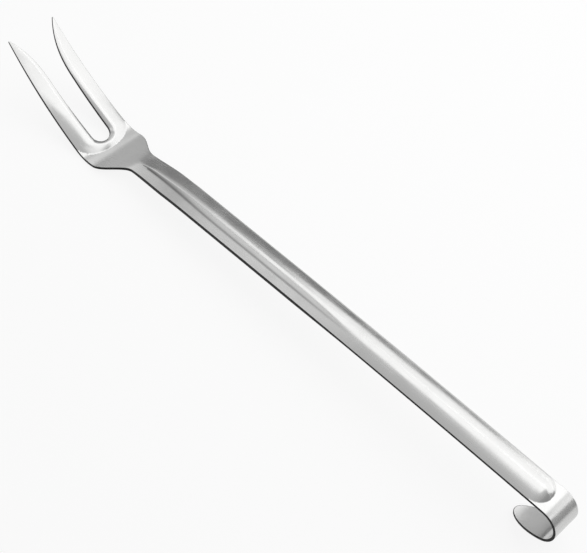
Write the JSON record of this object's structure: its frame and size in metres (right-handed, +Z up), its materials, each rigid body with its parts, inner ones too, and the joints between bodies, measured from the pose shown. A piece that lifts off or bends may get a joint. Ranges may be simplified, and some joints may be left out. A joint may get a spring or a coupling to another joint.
{
  "type": "carving fork",
  "caption": "Carving fork pressed from steel sheet, with curved pointed tines, broad shoulders, a long crowned handle and an open hook for hanging on a rail.",
  "frame": {"origin": "on the table, under the middle of the fork's length, with the fork lying on its heel and on the tip of its hook", "axes": "+X from the tines to the hook, +Y to the right-hand tine, +Z up from the table; the hook's bend runs along Y"},
  "size_m": [0.5018, 0.0464, 0.0461],
  "materials": {
    "steel": "polished, with fine drawing marks along the handle"
  },
  "bodies": {
    "root": {"left_tine": "steel", "right_tine": "steel", "head": "steel", "handle": "steel", "hanging_hook": "steel"}
  },
  "joints": []
}
